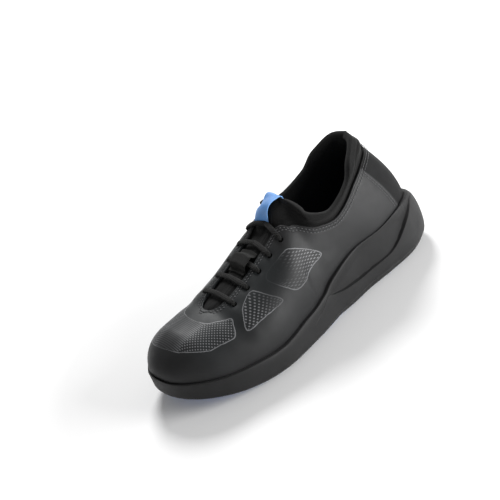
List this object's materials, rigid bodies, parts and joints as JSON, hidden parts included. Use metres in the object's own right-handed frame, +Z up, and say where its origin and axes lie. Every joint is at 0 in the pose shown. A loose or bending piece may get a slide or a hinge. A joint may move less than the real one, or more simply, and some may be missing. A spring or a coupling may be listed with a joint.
{
  "type": "safety sneaker",
  "caption": "Low-cut safety sneaker with a smooth upper, padded sock-like collar, laced throat, foam sole and gripping outsole.",
  "frame": {"origin": "on the floor, under the middle of the shoe's bounding box", "axes": "+Z up from the floor, +Y toward the heel (the toe points to -Y), +X toward the outer side of this left shoe"},
  "size_m": [0.1102, 0.2848, 0.1196],
  "materials": {
    "sole_foam": "matt foamed polyurethane",
    "blue_rubber": "matt textured tread",
    "blue_insole": "soft knitted top cover",
    "smooth_upper": "smooth semi-matt microfibre with reflective dot panels",
    "padded_knit": "matt padded textile",
    "lace_weave": "flat-oval braid",
    "tab_ribbon": "smooth woven ribbon"
  },
  "bodies": {
    "root": {"midsole": "sole_foam", "outsole": "blue_rubber", "arch_plate": "blue_rubber", "insole": "blue_insole", "upper": "smooth_upper", "collar_bootie": "padded_knit", "lace_bar_1": "lace_weave", "lace_bar_2": "lace_weave", "lace_bar_3": "lace_weave", "lace_bar_4": "lace_weave", "lace_bar_5": "lace_weave", "lace_keeper": "padded_knit", "tongue_tab": "tab_ribbon"}
  },
  "joints": []
}
